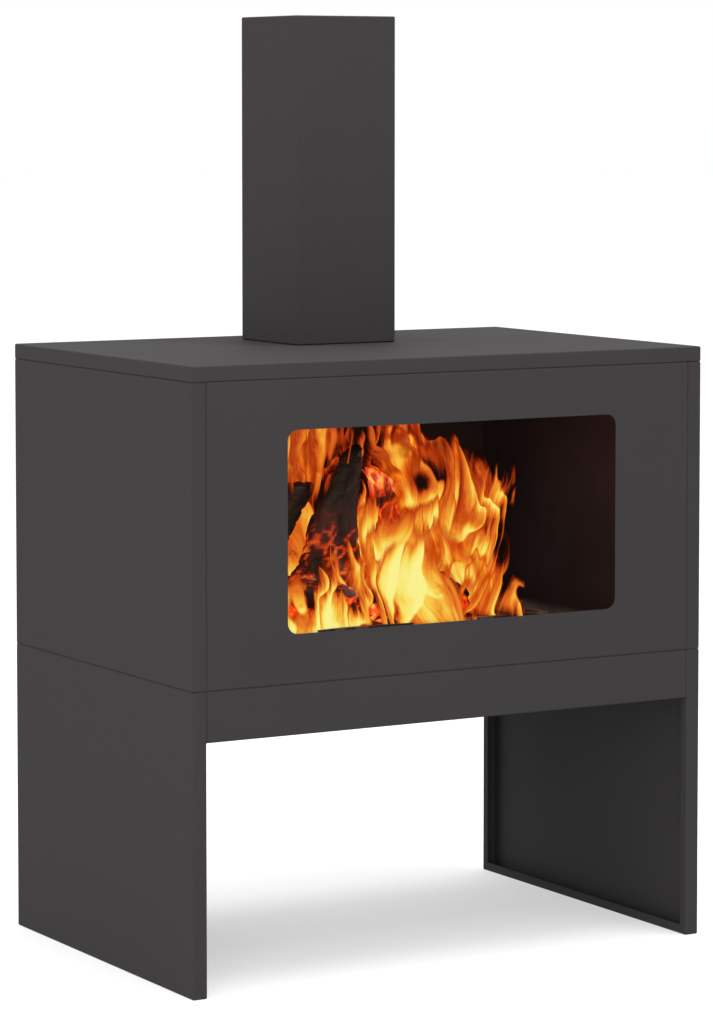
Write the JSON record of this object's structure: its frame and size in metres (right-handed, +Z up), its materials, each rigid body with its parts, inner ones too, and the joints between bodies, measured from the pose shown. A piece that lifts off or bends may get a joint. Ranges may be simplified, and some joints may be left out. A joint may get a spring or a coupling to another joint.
{
  "type": "chiminea",
  "caption": "Garden fireplace of folded black sheet steel: open-front firebox with a rounded window, square chimney, side legs, loose fire grate and ash pan.",
  "frame": {"origin": "on the ground, under the middle of the body", "axes": "+X to the right seen from the front, +Y to the back, +Z up; the window faces -Y"},
  "size_m": [0.75, 0.5, 1.205],
  "materials": {
    "powder_coat": "matt fine-textured anthracite heat-resistant powder coat",
    "pan_steel": "black heat-proof paint, dusted with ash",
    "grate_iron": "raw burnt iron",
    "zinc": "zinc-plated fasteners"
  },
  "bodies": {
    "fireplace": {"back_panel": "powder_coat", "chimney": "powder_coat", "firebox_floor": "powder_coat", "front_apron": "powder_coat", "front_panel": "powder_coat", "left_leg": "powder_coat", "left_side_panel": "powder_coat", "nut_back_left_lower": "zinc", "nut_back_left_upper": "zinc", "nut_back_right_lower": "zinc", "nut_back_right_upper": "zinc", "nut_front_apron_left": "zinc", "nut_front_apron_right": "zinc", "nut_front_left_lower": "zinc", "nut_front_left_upper": "zinc", "nut_front_right_lower": "zinc", "nut_front_right_upper": "zinc", "nut_plate_left_front": "zinc", "nut_plate_left_rear": "zinc", "nut_plate_right_front": "zinc", "nut_plate_right_rear": "zinc", "nut_rear_apron_left": "zinc", "nut_rear_apron_right": "zinc", "nut_seat_left_front": "zinc", "nut_seat_left_rear": "zinc", "nut_seat_right_front": "zinc", "nut_seat_right_rear": "zinc", "rear_apron": "powder_coat", "right_leg": "powder_coat", "right_side_panel": "powder_coat", "screw_back_left_lower": "zinc", "screw_back_left_upper": "zinc", "screw_back_right_lower": "zinc", "screw_back_right_upper": "zinc", "screw_chimney_front": "zinc", "screw_chimney_left": "zinc", "screw_chimney_rear": "zinc", "screw_chimney_right": "zinc", "screw_front_apron_left": "zinc", "screw_front_apron_right": "zinc", "screw_front_left_lower": "zinc", "screw_front_left_upper": "zinc", "screw_front_right_lower": "zinc", "screw_front_right_upper": "zinc", "screw_plate_left_front": "zinc", "screw_plate_left_rear": "zinc", "screw_plate_right_front": "zinc", "screw_plate_right_rear": "zinc", "screw_rear_apron_left": "zinc", "screw_rear_apron_right": "zinc", "screw_seat_left_front": "zinc", "screw_seat_left_rear": "zinc", "screw_seat_right_front": "zinc", "screw_seat_right_rear": "zinc", "top_plate": "powder_coat"},
    "ash_pan": {"ash_pan": "pan_steel"},
    "fire_grate": {"fire_grate": "grate_iron"}
  },
  "joints": [
    {"name": "ash_pan_lift", "type": "slide", "parent": "fireplace", "child": "ash_pan", "axis": [0, 0, 1], "range_m": [0, 0.1]},
    {"name": "fire_grate_lift", "type": "slide", "parent": "ash_pan", "child": "fire_grate", "axis": [0, 0, 1], "range_m": [0, 0.12]}
  ]
}
